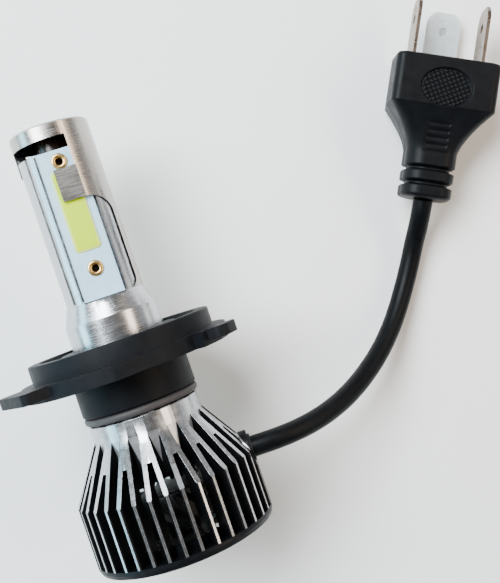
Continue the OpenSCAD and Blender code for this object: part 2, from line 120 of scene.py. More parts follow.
class BulbSizes(bpy.types.PropertyGroup):
    """Sizes of the edges and of the plug's grips"""

    edge_round: FloatProperty(
        name="Edge Rounding",
        description="Width of the broken edges, of which each piece has its own share",
        default=0.0001, min=0.00002, max=0.0004, unit="LENGTH", precision=6)
    collar_round: FloatProperty(
        name="Collar Rounding", description="Width of the broken edges of the collar",
        default=0.00016, min=0.0001, max=0.0006, unit="LENGTH", precision=6)
    knurl_pitch: FloatProperty(
        name="Knurl Pitch", description="Distance between the lines of the plug's oval grip",
        default=0.00092, min=0.0005, max=0.002, unit="LENGTH", precision=6)
    ridge_count: IntProperty(
        name="Plug Grooves", description="Number of grooves across the plug's waist",
        default=5, min=0, max=9)


class BulbFinishes(bpy.types.PropertyGroup):
    """Colours of the lamp's finishes"""

    aluminium: FloatVectorProperty(
        name="Aluminium", description="Machined post and heatsink edges", subtype="COLOR",
        default=(0.52, 0.53, 0.55), min=0, max=1)
    shade: FloatVectorProperty(
        name="Shade", description="Shade sleeve", subtype="COLOR",
        default=(0.42, 0.395, 0.37), min=0, max=1)
    board: FloatVectorProperty(
        name="Board", description="Light board", subtype="COLOR",
        default=(0.44, 0.70, 0.88), min=0, max=1)
    phosphor: FloatVectorProperty(
        name="Phosphor", description="Light strip", subtype="COLOR",
        default=(0.56, 0.78, 0.0), min=0, max=1)
    brass: FloatVectorProperty(
        name="Brass", description="Eyelets", subtype="COLOR",
        default=(0.70, 0.46, 0.17), min=0, max=1)
    collar: FloatVectorProperty(
        name="Collar", description="Black collar", subtype="COLOR",
        default=(0.0024, 0.0030, 0.0042), min=0, max=1)
    seal: FloatVectorProperty(
        name="Seal", description="Sealing ring", subtype="COLOR",
        default=(0.040, 0.036, 0.037), min=0, max=1)
    slots: FloatVectorProperty(
        name="Fin Flanks", description="Dark flanks of the fins", subtype="COLOR",
        default=(0.0015, 0.0015, 0.002), min=0, max=1)
    moulding: FloatVectorProperty(
        name="Moulding", description="Moulded plug", subtype="COLOR",
        default=(0.0020, 0.0025, 0.0034), min=0, max=1)
    jacket: FloatVectorProperty(
        name="Jacket", description="Cable jacket", subtype="COLOR",
        default=(0.0016, 0.0021, 0.0027), min=0, max=1)
    tin: FloatVectorProperty(
        name="Tin", description="Middle plug blade", subtype="COLOR",
        default=(0.80, 0.88, 0.92), min=0, max=1)


def sizes():
    return bpy.context.scene.bulb_sizes


def finishes():
    return bpy.context.scene.bulb_finishes


# ---- materials ----


class Shader:
    """A material's node tree with short ways to add and join nodes. Lengths are in metres."""

    def __init__(self, name, colour, roughness, metallic=0.0):
        self.material = bpy.data.materials.new(name)
        self.material.use_nodes = True
        self.nodes = self.material.node_tree.nodes
        self.links = self.material.node_tree.links
        self.surface = self.nodes["Principled BSDF"]
        self.put(self.surface, "Base Color", (*colour, 1))
        self.put(self.surface, "Roughness", roughness)
        self.put(self.surface, "Metallic", metallic)
        self.coordinates = self.nodes.new("ShaderNodeTexCoord").outputs["Object"]

    def put(self, node, socket, value):
        """Joins value to a node's socket if it is an output, or else sets it."""
        if isinstance(value, bpy.types.NodeSocket):
            self.links.new(value, node.inputs[socket])
        else:
            node.inputs[socket].default_value = value

    def maths(self, operation, first, *others):
        """The operation on one value, or carried on from the first through each of the others."""
        for other in others or (0.0,):
            node = self.nodes.new("ShaderNodeMath")
            node.operation = operation
            self.put(node, 0, first)
            self.put(node, 1, other)
            first = node.outputs[0]
        return first

    def above(self, value, limit):
        return self.maths("GREATER_THAN", value, limit)

    def below(self, value, limit):
        return self.maths("LESS_THAN", value, limit)

    def axes(self):
        """The x, y and z of the point in the lamp's frame."""
        node = self.nodes.new("ShaderNodeSeparateXYZ")
        self.put(node, "Vector", self.coordinates)
        return node.outputs

    def radius(self):
        """Distance of the point from the lamp's axis."""
        x, _, z = self.axes()
        squares = self.maths("ADD", self.maths("MULTIPLY", x, x), self.maths("MULTIPLY", z, z))
        return self.maths("SQRT", squares)

    def across_face(self):
        """Sideways distance of the point from the middle of the boards: x cos t - z sin t."""
        x, _, z = self.axes()
        return self.maths("SUBTRACT", self.maths("MULTIPLY", x, math.cos(FACE_TURN)),
                          self.maths("MULTIPLY", z, math.sin(FACE_TURN)))

    def out_of_face(self):
        """Distance of the point from the axis, square to the boards: x sin t + z cos t."""
        x, _, z = self.axes()
        return self.maths("ADD", self.maths("MULTIPLY", x, math.sin(FACE_TURN)),
                          self.maths("MULTIPLY", z, math.cos(FACE_TURN)))

    def stretched(self, scale):
        """The point's coordinates scaled by a different amount along each axis."""
        node = self.nodes.new("ShaderNodeMapping")
        self.put(node, "Vector", self.coordinates)
        self.put(node, "Scale", scale)
        return node.outputs["Vector"]

    def noise(self, vector, scale, detail, roughness=0.55):
        node = self.nodes.new("ShaderNodeTexNoise")
        self.put(node, "Vector", vector)
        self.put(node, "Scale", scale)
        self.put(node, "Detail", detail)
        self.put(node, "Roughness", roughness)
        return node.outputs["Fac"]

    def spread(self, value, low, high, to_low, to_high, smooth=False):
        """The value carried from the range low to high to the range to_low to to_high."""
        node = self.nodes.new("ShaderNodeMapRange")
        node.interpolation_type = "SMOOTHSTEP" if smooth else "LINEAR"
        for i, number in enumerate((value, low, high, to_low, to_high)):
            self.put(node, i, number)
        return node.outputs["Result"]

    def blend(self, factor, a, b):
        """A colour between a and b, each of which is a plain colour or a node's output."""
        node = self.nodes.new("ShaderNodeMix")
        node.data_type = "RGBA"
        for i, value in ((0, factor), (6, a), (7, b)):
            self.put(node, i, (*value, 1) if isinstance(value, tuple) else value)
        return node.outputs[2]

    def bump(self, height, distance, strength):
        node = self.nodes.new("ShaderNodeBump")
        self.put(node, "Height", height)
        self.put(node, "Distance", distance)
        self.put(node, "Strength", strength)
        self.put(self.surface, "Normal", node.outputs["Normal"])

    def shade_by(self, factor, dark, light):
        """Base colour between two colours."""
        self.put(self.surface, "Base Color", self.blend(factor, dark, light))


def scaled(colour, by):
    return tuple(min(1.0, c * by) for c in colour)


def machined(name, colour, roughness, fineness, flats_from, depth=0.35, streak=0.84):
    """Metal with fine tool lines.

    They run lengthwise above the height flats_from, and in rings round the axis below it."""
    s = Shader(name, colour, roughness, 1.0)
    lengthwise = s.noise(s.stretched((1, 0.02, 1)), fineness, 2.0)
    rings = s.noise(s.stretched((0.03, 1, 0.03)), fineness, 2.0)
    on_flat = s.above(s.axes()["Y"], flats_from)
    lines = s.maths("ADD", s.maths("MULTIPLY", lengthwise, on_flat),
                    s.maths("MULTIPLY", rings, s.maths("SUBTRACT", 1.0, on_flat)))
    cloud = s.noise(s.coordinates, 260, 4.0)
    s.put(s.surface, "Roughness", s.maths(
        "ADD", s.spread(lines, 0.3, 0.7, roughness - 0.06, roughness + 0.07),
        s.spread(cloud, 0.4, 0.75, 0.0, 0.07)))
    s.shade_by(s.spread(lines, 0.25, 0.75, 0.0, 1.0), scaled(colour, streak), scaled(colour, 1.04))
    s.bump(lines, 0.00001, depth)
    return s


def paint_shade(s, inside, dark):
    """Paints shade: darkens the surface and takes its metal away where inside is 1."""
    colour = s.surface.inputs["Base Color"].links[0].from_socket
    s.put(s.surface, "Base Color", s.blend(inside, colour, dark))
    s.put(s.surface, "Metallic", s.maths("SUBTRACT", 1.0, inside))


def post_metal(name, colours):
    """Bright machined post, with painted shade above its core and down the eyelets' holes."""
    flats_from, holes_from, core_top = 0.0121, 0.0125, 0.04265
    hole_floor, hole_half = 0.0053, 0.0014
    s = machined(name, colours.aluminium, 0.22, 9000, flats_from, 0.2, 0.9)
    y = s.axes()["Y"]
    shade_in_hole = s.maths("MULTIPLY", s.below(s.maths("ABSOLUTE", s.out_of_face()), hole_floor),
                      s.below(s.maths("ABSOLUTE", s.across_face()), hole_half),
                      s.above(y, holes_from))
    # painted shade: dark above the core top, in the gap under the cap, and down the eyelet holes
    paint_shade(s, s.maths("MAXIMUM", s.above(y, core_top), shade_in_hole), (0.02, 0.008, 0.003))
    return s


def shade_metal(name, colours):
    """Brushed sleeve: bright within 0.14 mm of its outer radius, and painted shade deeper in."""
    unshaded_skin, cap_skin, tongue_back = 0.00014, 0.0004, 0.0072
    s = machined(name, colours.shade, 0.24, 11000, RINGS_ONLY, 0.1, 0.95)
    _, high = face_box("shade_sleeve")
    _, y, z = s.axes()
    # painted shade on the sleeve's inner faces, below the cap and behind the tongues
    paint_shade(s, s.maths("MULTIPLY", s.below(s.radius(), high[0] - unshaded_skin),
                        s.below(y, high[1] - cap_skin), s.below(z, tongue_back)),
             (0.012, 0.016, 0.02))
    return s


def moulded(name, colour, roughness, grain, depth, lift=1.6, sheen=0.3):
    """Plastic, rubber or paint with a fine grain and faint clouding."""
    s = Shader(name, colour, roughness)
    s.put(s.surface, "Specular IOR Level", sheen)
    cloud = s.noise(s.coordinates, 420, 5.0, 0.6)
    s.shade_by(s.spread(cloud, 0.35, 0.7, 0.0, 1.0), tuple(colour), scaled(colour, lift))
    s.put(s.surface, "Roughness", s.spread(cloud, 0.3, 0.7, roughness - 0.05, roughness + 0.08))
    s.bump(s.noise(s.coordinates, grain, 2.0), depth, 0.5)
    return s


def fin_metal(name, colours):
    """Black-anodised heatsink whose outer cone edges were turned bright after anodising.

    The bright mask is the largest of three. The turned edges lie within 0.1 mm of the outer cone.
    On the outer cylinder the fin tips are rounded and anodised, and their bright line within 0.1
    mm of it, near the middle of each fin, is a painted highlight. The floor of a deep slot is
    bright in
    a triangle that runs out downwards: with d the bearing from the slot's middle, a point is
    inside where |r sin d| < w (y - y_end) / (y_top - y_end). One shoulder has a worn nick."""
    neck_low, neck_radius, cone_slope, shoulder = -0.0149, 0.01135, 0.6441, -0.026
    slot_pitch, fin_middle = math.radians(20), 0.00156
    triangle_end, triangle_half = -0.0226, 0.0011
    nick_bearing, nick_half, nick_depth = math.radians(15) + FULL_TURN, 0.055, 0.0009
    bright = tuple(colours.aluminium)
    s = Shader(name, bright, 0.26, 1.0)
    x, y, z = s.axes()
    radius = s.radius()
    low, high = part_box("heatsink")
    cone = s.maths("ADD", s.maths("MULTIPLY", s.maths("SUBTRACT", neck_low, y), cone_slope),
                   neck_radius)
    outline = s.maths("MINIMUM", s.maths("MAXIMUM", cone, neck_radius), (high[0] - low[0]) / 2)
    depth = s.maths("SUBTRACT", outline, radius)
    bearing = s.maths("ADD", s.maths("ARCTAN2", x, z), FULL_TURN)
    off_slot = s.maths("SUBTRACT", s.maths("MODULO", bearing, slot_pitch), slot_pitch / 2)
    aside = s.maths("ABSOLUTE", s.maths("MULTIPLY", radius, s.maths("SINE", off_slot)))
    on_cone = s.above(y, shoulder)

    # turned edge on the cone; on the cylinder, a painted highlight along the middle of each
    # rounded fin tip
    off_fin = s.maths("ABSOLUTE", s.maths("SUBTRACT", aside, fin_middle))
    turned_edge_and_tip_highlight = s.maths(
        "MULTIPLY", s.spread(depth, 0.00003, 0.0001, 1.0, 0.0),
        s.maths("MAXIMUM", on_cone, s.spread(off_fin, 0.00019, 0.00026, 1.0, 0.0)),
        s.spread(depth, -0.0003, -0.0001, 0.0, 1.0))
    half_width = s.spread(y, triangle_end, neck_low, -0.0002, triangle_half)
    slot_floor = s.maths(
        "MULTIPLY", s.spread(s.maths("SUBTRACT", half_width, aside), 0.0, 0.00015, 0.0, 0.8),
        s.below(radius, neck_radius + 0.00015), s.above(radius, neck_radius - 0.0002))
    off_nick = s.maths("ABSOLUTE", s.maths("SUBTRACT", bearing, nick_bearing))
    nick = s.maths("MULTIPLY", s.below(off_nick, nick_half), on_cone,
                   s.below(depth, nick_depth), 0.6)
    edge = s.maths("MAXIMUM", turned_edge_and_tip_highlight, slot_floor, nick)

    wear = s.noise(s.coordinates, 900, 3.0)
    lines = s.noise(s.stretched((0.03, 1, 0.03)), 14000, 2.0)
    patina = s.maths("MULTIPLY", s.spread(wear, 0.3, 0.7, 0.72, 1.05),
                     s.spread(lines, 0.2, 0.8, 0.75, 1.1))
    s.shade_by(edge, tuple(colours.slots), s.blend(patina, scaled(bright, 0.35), bright))
    s.put(s.surface, "Metallic", edge)
    s.put(s.surface, "Specular IOR Level", 0.15)
    s.put(s.surface, "Roughness", s.maths("SUBTRACT", s.spread(wear, 0.3, 0.7, 0.44, 0.52),
                                          s.maths("MULTIPLY", edge, 0.22)))
    s.bump(lines, 0.00001, 0.15)
    return s


def phosphor_gel(name, colours):
    """Yellow-green silicone that pales towards its rim, where it thins out over the board."""
    colour = tuple(colours.phosphor)
    s = Shader(name, colour, 0.38)
    low, high = face_box("emitter_front")
    half_width, half_length, _ = (high - low) / 2
    off_middle = s.maths("SUBTRACT", s.axes()["Y"], (high[1] + low[1]) / 2)
    inset = s.maths(
        "MINIMUM", s.maths("SUBTRACT", half_width, s.maths("ABSOLUTE", s.across_face())),
        s.maths("SUBTRACT", half_length, s.maths("ABSOLUTE", off_middle)))
    rim = s.spread(inset, 0.00005, 0.00065, 0.0, 1.0, smooth=True)
    grain = s.noise(s.coordinates, 3200, 4.0)
    body = s.blend(s.spread(grain, 0.3, 0.7, 0.0, 1.0), scaled(colour, 0.93), colour)
    s.shade_by(rim, (0.62, 0.74, 0.30), body)
    s.put(s.surface, "Specular IOR Level", 0.15)
    s.bump(grain, 0.00003, 0.4)
    return s


def board_mask(name, colours):
    """Pale blue solder mask with a soft gloss, greyed by painted shade towards its long edges."""
    colour = colours.board
    s = Shader(name, colour, 0.42)
    half = face_box("led_board_front")[1][0]
    # painted shade: the mask greys within 0.6 mm of the long edges, beside the grooves
    edge = s.spread(s.maths("ABSOLUTE", s.across_face()), half - 0.0006, half, 0.0, 1.0)
    cloud = s.noise(s.coordinates, 700, 4.0)
    base = s.blend(s.spread(cloud, 0.3, 0.7, 0.0, 1.0), scaled(colour, 0.93), scaled(colour, 1.05))
    s.shade_by(s.maths("MULTIPLY", edge, 0.35), base, scaled(colour, 0.6))
    s.put(s.surface, "Coat Weight", 0.25)
    s.put(s.surface, "Coat Roughness", 0.3)
    s.bump(s.noise(s.coordinates, 5200, 2.0), 0.00002, 0.3)
    return s


def tin_plate(name, colours):
    """Dull bright tin with faint cloudy stains."""
    s = Shader(name, colours.tin, 0.34, 0.35)
    cloud = s.noise(s.coordinates, 500, 4.0)
    s.shade_by(s.spread(cloud, 0.35, 0.7, 0.0, 1.0), scaled(colours.tin, 0.86), tuple(colours.tin))
    s.bump(s.noise(s.coordinates, 2500, 2.0), 0.00001, 0.2)
    return s


MAKERS = {
    "post_metal": post_metal,
    "shade_metal": shade_metal,
    "fin_metal": fin_metal,
    "phosphor_gel": phosphor_gel,
    "board_mask": board_mask,
    "tin_plate": tin_plate,
    # side blades: the same tin, painted brown as a painted reflection on their upright faces
    "tin_brown_reflection": lambda n, c: machined(n, (0.24, 0.195, 0.16), 0.3, 7000, RINGS_ONLY, 0.1),
    "eyelet_brass": lambda n, c: machined(n, c.brass, 0.24, 16000, RINGS_ONLY),
    "steel_turned": lambda n, c: machined(n, (0.42, 0.42, 0.43), 0.32, 9000, RINGS_ONLY),
    "collar_paint": lambda n, c: moulded(n, c.collar, 0.5, 5200, 0.00006, 1.9, 0.12),
    "cover_paint": lambda n, c: moulded(n, scaled(c.collar, 0.8), 0.42, 7000, 0.00003, 1.5, 0.14),
    "seal_rubber": lambda n, c: moulded(n, c.seal, 0.5, 6000, 0.00004, 1.25),
    "plug_plastic": lambda n, c: moulded(n, c.moulding, 0.44, 8000, 0.00003, 1.4, 0.12),
    "jacket_satin": lambda n, c: moulded(n, c.jacket, 0.42, 9000, 0.00001, 1.5, 0.1),
    "rubber_matt": lambda n, c: moulded(n, scaled(c.jacket, 0.7), 0.6, 6000, 0.00004),
    "fan_plastic": lambda n, c: moulded(n, scaled(c.jacket, 0.6), 0.4, 6000, 0.00002),
    "wire_red": lambda n, c: moulded(n, (0.26, 0.010, 0.008), 0.4, 9000, 0.00002, 1.3),
    "mask_dark": lambda n, c: moulded(n, (0.002, 0.004, 0.0037), 0.5, 4000, 0.00002, 1.4, 0.08),
    "copper_dark": lambda n, c: moulded(n, (0.012, 0.005, 0.003), 0.5, 9000, 0.00002, 1.4, 0.06),
    "ferrite_core": lambda n, c: moulded(n, (0.014, 0.013, 0.014), 0.5, 7000, 0.00003),
    # dark cans and screws, and black chip resin, darkened further by painted shade inside the
    # heatsink
    "can_dark_painted_shade": lambda n, c: moulded(n, (0.004, 0.004, 0.0045), 0.5, 9000, 0.00002, 1.4, 0.06),
    "chip_resin_painted_shade": lambda n, c: moulded(n, (0.003, 0.003, 0.003), 0.6, 7000, 0.00003, 1.3, 0.05),
}


def finish(name):
    """The named material, made the first time that it is asked for."""
    return bpy.data.materials.get(name) or MAKERS[name](name, finishes()).material


# ---- mesh helpers ----


def add_piece(name, mesh, node, material, round_angle):
    """Puts a finished mesh in the scene for its CAD node, on the same body and finish slot."""
    piece = bpy.data.objects.new(name, mesh)
    bpy.context.scene.collection.objects.link(piece)
    mesh.materials.clear()
    mesh.materials.append(finish(material))
    mesh.shade_smooth()
    mesh.set_sharp_from_angle(angle=math.radians(round_angle))
    record = frame["record"]
    bodies = record["behaviour"]["bodies"]
    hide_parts(node)
    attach(piece, next(body for body, nodes in bodies.items() if node in nodes))
    return piece


def grid_quads(rows, columns):
    """Faces of a grid of points, row after row, whose columns close round."""
    i, j = np.meshgrid(np.arange(rows - 1), np.arange(columns), indexing="ij")
    here, below, k = i * columns, (i + 1) * columns, (j + 1) % columns
    return np.stack([here + j, here + k, below + k, below + j], -1).reshape(-1, 4)


def mesh_of(name, parts):
    """One mesh from (points, quads) pairs, with doubles merged and the faces turned outwards."""
    starts = np.cumsum([0] + [len(points) for points, _ in parts])
    points = np.concatenate([points for points, _ in parts])
    quads = np.concatenate([quads + start for (_, quads), start in zip(parts, starts)])
    mesh = bpy.data.meshes.new(name)
    mesh.from_pydata(points.tolist(), [], quads.tolist())
    work = bmesh.new()
    work.from_mesh(mesh)
    bmesh.ops.remove_doubles(work, verts=work.verts, dist=1e-7)
    bmesh.ops.dissolve_degenerate(work, edges=work.edges, dist=1e-8)
    bmesh.ops.recalc_face_normals(work, faces=work.faces)
    work.to_mesh(mesh)
    work.free()
    return mesh


def turned(outline, steps):
    """A closed profile of (radius, height) carried round the Y axis: (r sin a, h, r cos a)."""
    radius, height = np.array(outline, float).T
    angle = np.arange(steps) * FULL_TURN / steps
    points = np.stack([np.outer(radius, np.sin(angle)), np.repeat(height[:, None], steps, 1),
                       np.outer(radius, np.cos(angle))], -1)
    return points.reshape(-1, 3), grid_quads(len(outline), steps)


def rounded(corners, radius, steps):
    """A closed outline whose corners are replaced by arcs.

    Each arc's points lie on the quadratic curve from one cut point to the other, with the corner
    as its middle control point."""
    corners = np.array(corners, float)
    cuts = []
    for way in (1, -1):
        side = np.roll(corners, way, 0) - corners
        length = np.linalg.norm(side, axis=1, keepdims=True)
        cuts.append((corners + side * np.minimum(radius, 0.45 * length) / length)[:, None])
    t = np.linspace(0, 1, steps)[None, :, None]
    curve = (1 - t) ** 2 * cuts[0] + 2 * t * (1 - t) * corners[:, None] + t ** 2 * cuts[1]
    outline = curve.reshape(-1, 2)
    return np.vstack([outline, outline[:1]])


def softened(node, material, width, segments=2):
    """A merged copy of a CAD node with its flat faces joined up and its sharp edges bevelled."""
    work = bmesh.new()
    work.from_mesh(frame["nodes"][node].data)
    bmesh.ops.remove_doubles(work, verts=work.verts, dist=2e-6)
    bmesh.ops.dissolve_limit(
        work, angle_limit=math.radians(0.6), verts=work.verts, edges=work.edges)
    mesh = bpy.data.meshes.new(node + "_finished")
    work.to_mesh(mesh)
    work.free()
    piece = add_piece(mesh.name, mesh, node, material, 14)
    bevel = piece.modifiers.new("Broken edges", "BEVEL")
    bevel.width = width
    bevel.segments = segments
    bevel.limit_method = "ANGLE"
    bevel.angle_limit = math.radians(38)
    bevel.use_clamp_overlap = True
    bevel.harden_normals = True
    return piece


def dress(**finish_of):
    """Gives CAD nodes that are kept as they are the finishes named."""
    for node, material in finish_of.items():
        piece = frame["nodes"][node]
        piece.data.materials.clear()
        piece.data.materials.append(finish(material))


def at_plug(points):
    """Points of the plug's frame, with y from the cable to the end face, in the lamp's frame."""
    sine, cosine = math.sin(PLUG_TURN), math.cos(PLUG_TURN)
    x, y, z = points.T
    return np.stack([x * cosine + y * sine, y * cosine - x * sine, z], -1) + PLUG_AT


# ---- operators ----


class BULB_OT_stage(bpy.types.Operator):
    """Makes the floor, the soft lights and the camera above the lamp"""

    bl_idname = "bulb.stage"
    bl_label = "Stage"

    def execute(self, context):
        scene = context.scene
        self.add_floor(scene, CAD_BOX[0][2])
        self.add_camera(scene)
        middle = (Vector(CAD_BOX[0]) + Vector(CAD_BOX[1])) / 2
        for name, place, size, power, tint in LIGHTS:
            self.add_light(scene, name, place, middle, size, power, tint)
        scene.world = self.studio()
        return {"FINISHED"}

    def studio(self):
        """A pale room: bright along the horizon, fading to a dim warm ceiling half way up."""
        world = bpy.data.worlds.new("Studio")
        world.use_nodes = True
        nodes, links = world.node_tree.nodes, world.node_tree.links
        axes = nodes.new("ShaderNodeSeparateXYZ")
        links.new(nodes.new("ShaderNodeTexCoord").outputs["Generated"], axes.inputs[0])
        height = nodes.new("ShaderNodeMapRange")
        height.interpolation_type = "SMOOTHSTEP"
        links.new(axes.outputs["Z"], height.inputs["Value"])
        height.inputs["From Min"].default_value = 0.05
        height.inputs["From Max"].default_value = 0.55
        tint = nodes.new("ShaderNodeMix")
        tint.data_type = "RGBA"
        links.new(height.outputs["Result"], tint.inputs[0])
        tint.inputs[6].default_value = (0.60, 0.61, 0.63, 1)
        tint.inputs[7].default_value = (0.17, 0.16, 0.15, 1)
        links.new(tint.outputs[2], nodes["Background"].inputs["Color"])
        return world

    def add_floor(self, scene, level):
        half = 1.5
        mesh = bpy.data.meshes.new("bench")
        corners = [(x * half, y * half, level) for x, y in ((-1, -1), (1, -1), (1, 1), (-1, 1))]
        mesh.from_pydata(corners, [], [(0, 1, 2, 3)])
        bench = bpy.data.objects.new("bench", mesh)
        scene.collection.objects.link(bench)
        s = Shader("bench_paper", (0.93, 0.93, 0.93), 0.7)
        s.shade_by(s.noise(s.coordinates, 60, 3.0), (0.92, 0.92, 0.925), (0.95, 0.95, 0.95))
        mesh.materials.append(s.material)

    def add_camera(self, scene):
        """The camera looks straight down, turned so that the lamp leans to the left of upright."""
        data = bpy.data.cameras.new("Camera")
        data.lens = 55.95
        data.sensor_width = 36
        data.shift_x = 0.024
        data.shift_y = -0.0506
        data.clip_start = 0.01
        camera = bpy.data.objects.new("Camera", data)
        camera.location = (0.0275, 0.0103, 0.184)
        camera.rotation_euler = (0, 0, math.radians(-18.9))
        scene.collection.objects.link(camera)
        scene.camera = camera

    def add_light(self, scene, name, place, target, size, power, tint):
        data = bpy.data.lights.new(name, "AREA")
        data.shape = "RECTANGLE"
        data.size, data.size_y = size
        data.energy = power
        data.color = tint
        light = bpy.data.objects.new(name, data)
        light.location = place
        light.rotation_euler = (light.location - target).to_track_quat("Z", "Y").to_euler()
        scene.collection.objects.link(light)


class BULB_OT_cable(bpy.types.Operator):
    """Makes the cable from the heatsink to the plug"""

    bl_idname = "bulb.cable"
    bl_label = "Cable"

    def execute(self, context):
        route = np.array(CABLE_ROUTE) * MM
        curve = bpy.data.curves.new("cable_jacketed", "CURVE")
        curve.dimensions = "3D"
        curve.bevel_depth = CABLE_DIAMETER / 2
        curve.bevel_resolution = 6
        curve.resolution_u = 8
        curve.use_fill_caps = True
        spline = curve.splines.new("BEZIER")
        spline.bezier_points.add(len(route) - 1)
        spline.bezier_points.foreach_set("co", route.ravel())
        for point in spline.bezier_points:
            point.handle_left_type = point.handle_right_type = "AUTO"
        curve.materials.append(finish("jacket_satin"))
        cable = bpy.data.objects.new("cable_jacketed", curve)
        context.scene.collection.objects.link(cable)
        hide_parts("cable")
        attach(cable, "lamp")
        return {"FINISHED"}


class BULB_OT_plug(bpy.types.Operator):
    """Makes the moulded plug with its grips and relief rings, and its three blades"""

    bl_idname = "bulb.plug"
    bl_label = "Plug"

    def execute(self, context):
        add_piece("plug_moulding", self.moulding(), "plug_body", "plug_plastic", 60)
        dress(plug_insert="rubber_matt", plug_wires="wire_red")
        metal = bpy.data.collections.new("plug_metal")
        # the side blades' brown tin is a painted reflection; the middle blade has the plain tin
        for blade, material in (
            ("blade_left", "tin_brown_reflection"), ("blade_right", "tin_brown_reflection"), ("blade_middle", "tin_plate"),
        ):
            metal.objects.link(softened(blade, material, 1.4 * sizes().edge_round, 3))
        return {"FINISHED"}

    def moulding(self):
        """The plug's skin: rounded rectangles along y, with marks pressed into its top.

        A ring at y has half sides (w(y), t(y)), which grow by a power curve from the neck to the
        wide end, and corner radius r(y). Both ends are rounded off as quarter circles, and two
        grooves near the cable part the relief rings. Sizes are in millimetres."""
        end, wide, neck, relief, nose = 30.3, 19.7, 10.2, 5.55, 0.9
        y = np.concatenate([
            np.linspace(0, 7.4, 60), np.linspace(7.5, wide - 0.1, 90),
            np.linspace(wide, end - nose, 96), end - nose * np.cos(np.linspace(0, np.pi / 2, 7))])
        y = np.unique(np.clip(y, 0, end))
        grow = np.clip((y - neck) / (wide - neck), 0, 1)
        groove = sum(0.95 * np.exp(-np.abs((y - at) / 0.5) ** 4) for at in (3.2, 6.45))
        over_ends = [np.clip(past / nose, 0, 1) for past in (nose - y, y - (end - nose))]
        inset = groove + sum(nose * (1 - np.sqrt(1 - over ** 2)) for over in over_ends)
        half_w = relief + (11.25 - relief) * grow ** 1.5 - inset
        half_t = relief + (8.5 - relief) * grow ** 1.5 - inset
        corner = np.minimum(3.6 - 1.9 * grow, np.minimum(half_w, half_t) - 0.05)
        half_w, half_t, corner, grow = (v[:, None] for v in (half_w, half_t, corner, grow))

        flats, arcs, sides = 150, 7, 16
        flat, side = np.linspace(-1, 1, flats), np.linspace(-1, 1, sides)
        arc = np.linspace(0, np.pi / 2, arcs + 2)[1:-1]
        upright = np.ones(sides + 2 * arcs)
        along_x = np.concatenate([flat, upright, -flat, -upright])
        along_z = np.concatenate([
            np.ones(flats + arcs), -side, -np.ones(flats + 2 * arcs), side, np.ones(arcs)])
        turn = np.concatenate([
            np.full(flats, np.pi / 2), np.pi / 2 - arc, np.zeros(sides), -arc,
            np.full(flats, -np.pi / 2), -np.pi / 2 - arc, np.full(sides, np.pi), np.pi - arc])
        x = along_x * (half_w - corner) + corner * np.cos(turn)
        z = along_z * (half_t - corner) + corner * np.sin(turn)
        rows = np.repeat(y[:, None], x.shape[1], 1)
        z[:, :flats] -= self.pressed(x[:, :flats], rows[:, :flats], end)
        # the sides draw in towards the underside, and a faint parting line runs half way up each
        x = x * (1 - 0.1 * np.clip(-z / half_t, 0, 1) * grow)
        x = x + np.sign(x) * 0.12 * np.exp(-(z / 0.25) ** 2) * (np.abs(x) > half_w - 0.3)
        skin = np.stack([x, rows, z], -1)
        closed = np.concatenate([
            skin[:1] * [0, 1, 0], skin[:1] * [0.5, 1, 0.5], skin,
            skin[-1:] * [0.5, 1, 0.5], skin[-1:] * [0, 1, 0]])
        points = at_plug(closed.reshape(-1, 3) * MM)
        return mesh_of("plug_moulding", [(points, grid_quads(len(closed), closed.shape[1]))])

    def pressed(self, x, y, end):
        """Depth of the marks on the plug's top face, in millimetres.

        The oval is a floor 0.5 deep with diamonds on it: the product of two triangle waves at
        right angles. The grooves are a row of rounded dips across the waist."""
        centre, half_x, half_y, lean = end - 6.7, 5.7, 4.25, 0.5
        reach = np.hypot(x / half_x, (y - centre) / half_y)
        wall = np.clip((1 - reach) / 0.07, 0, 1)
        floor = 0.5 * wall * wall * (3 - 2 * wall)
        pitch = sizes().knurl_pitch / MM
        waves = [np.abs(((x * c + (y - centre) * s) / pitch) % 1 - 0.5) * 2
                 for c, s in ((math.cos(lean), math.sin(lean)), (-math.sin(lean), math.cos(lean)))]
        diamonds = np.clip(0.544 * (1 - waves[0]) * (1 - waves[1]), 0, 0.42)
        oval = floor - diamonds * np.clip((0.93 - reach) / 0.05, 0, 1)
        places = 10 + 1.5 * np.arange(sizes().ridge_count)
        dips = sum((np.exp(-((y - at) / 0.34) ** 2) for at in places), np.zeros_like(x))
        return oval + 0.2 * dips * np.clip((2.5 - np.abs(x)) / 0.4, 0, 1)


class BULB_OT_post(bpy.types.Operator):
    """Finishes the machined post and the shade sleeve, and dresses the nut and wires inside"""

    bl_idname = "bulb.post"
    bl_label = "Post and Shade"

    def execute(self, context):
        edge = sizes().edge_round
        softened("lamp_post", "post_metal", 0.9 * edge)
        softened("shade_sleeve", "shade_metal", 0.7 * edge)
        dress(post_nut="eyelet_brass", led_wires="wire_red")
        return {"FINISHED"}


